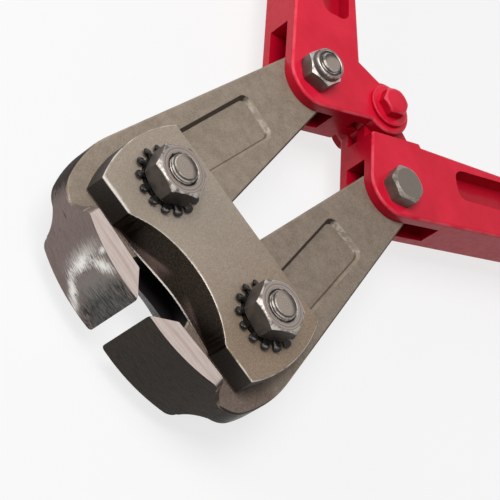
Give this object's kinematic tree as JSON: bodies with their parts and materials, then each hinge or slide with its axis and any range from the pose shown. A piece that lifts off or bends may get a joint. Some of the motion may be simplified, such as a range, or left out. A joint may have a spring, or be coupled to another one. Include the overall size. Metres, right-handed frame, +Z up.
{
  "type": "bolt cutters",
  "caption": "Long-handled bolt cutters with end-cut jaws: scooped straps carry wide-beaked jaws, driven by red forged handle heads on a centre bolt, with tube handles and rubber grips.",
  "frame": {"origin": "on the surface the tool lies on, under the middle of its bounding box in the half-open pose of the picture", "axes": "+Z up through the straps, -Y the way the jaws point, +X towards the right jaw"},
  "size_m": [0.535, 0.5456, 0.0446],
  "materials": {
    "jaw_steel": "sand-blasted forging, ground at the beak",
    "strap_steel": "satin plate",
    "dark_steel": "dark oiled fastener",
    "bright_steel": "zinc plated fastener",
    "red_paint": "glossy enamel",
    "nylon": "nylon",
    "grip_rubber": "ribbed grip"
  },
  "bodies": {
    "straps": {"upper_strap": "strap_steel", "lower_strap": "strap_steel", "left_jaw_bolt": "dark_steel", "left_jaw_nut": "dark_steel", "left_star_washer": "dark_steel", "right_jaw_bolt": "dark_steel", "right_jaw_nut": "dark_steel", "right_star_washer": "dark_steel"},
    "left_jaw": {"left_jaw": "jaw_steel"},
    "right_jaw": {"right_jaw": "jaw_steel"},
    "left_handle": {"left_handle_head": "red_paint", "left_pivot_bolt": "bright_steel", "left_lock_nut": "bright_steel", "left_lock_ring": "nylon", "left_handle_tube": "red_paint", "left_tube_pin": "bright_steel", "left_grip": "grip_rubber", "centre_bolt": "red_paint", "centre_washer": "red_paint", "lower_centre_washer": "red_paint", "centre_nut": "red_paint"},
    "right_handle": {"right_handle_head": "red_paint", "right_pivot_bolt": "bright_steel", "right_lock_nut": "bright_steel", "right_lock_ring": "nylon", "right_handle_tube": "red_paint", "right_tube_pin": "bright_steel", "right_grip": "grip_rubber"}
  },
  "joints": [
    {"name": "left_jaw_pivot", "type": "hinge", "parent": "straps", "child": "left_jaw", "pos_m": [-0.02575, -0.23443, 0.02005], "axis": [0, 0, 1], "range_deg": [-1, 4.4]},
    {"name": "right_jaw_pivot", "type": "hinge", "parent": "straps", "child": "right_jaw", "pos_m": [0.02575, -0.23443, 0.02005], "axis": [0, 0, -1], "range_deg": [-1, 4.4]},
    {"name": "left_handle_pivot", "type": "hinge", "parent": "left_jaw", "child": "left_handle", "pos_m": [-0.02449, -0.13594, 0.02005], "axis": [0, 0, -1], "range_deg": [-6, 30]},
    {"name": "right_handle_pivot", "type": "hinge", "parent": "right_jaw", "child": "right_handle", "pos_m": [0.02449, -0.13594, 0.02005], "axis": [0, 0, 1], "range_deg": [-6, 30]}
  ],
  "couplings": [
    {"joint": "left_handle_pivot", "follows": "right_handle_pivot", "ratio": 1},
    {"joint": "left_jaw_pivot", "follows": "right_handle_pivot", "ratio": 0.14666},
    {"joint": "right_jaw_pivot", "follows": "right_handle_pivot", "ratio": 0.14666}
  ]
}
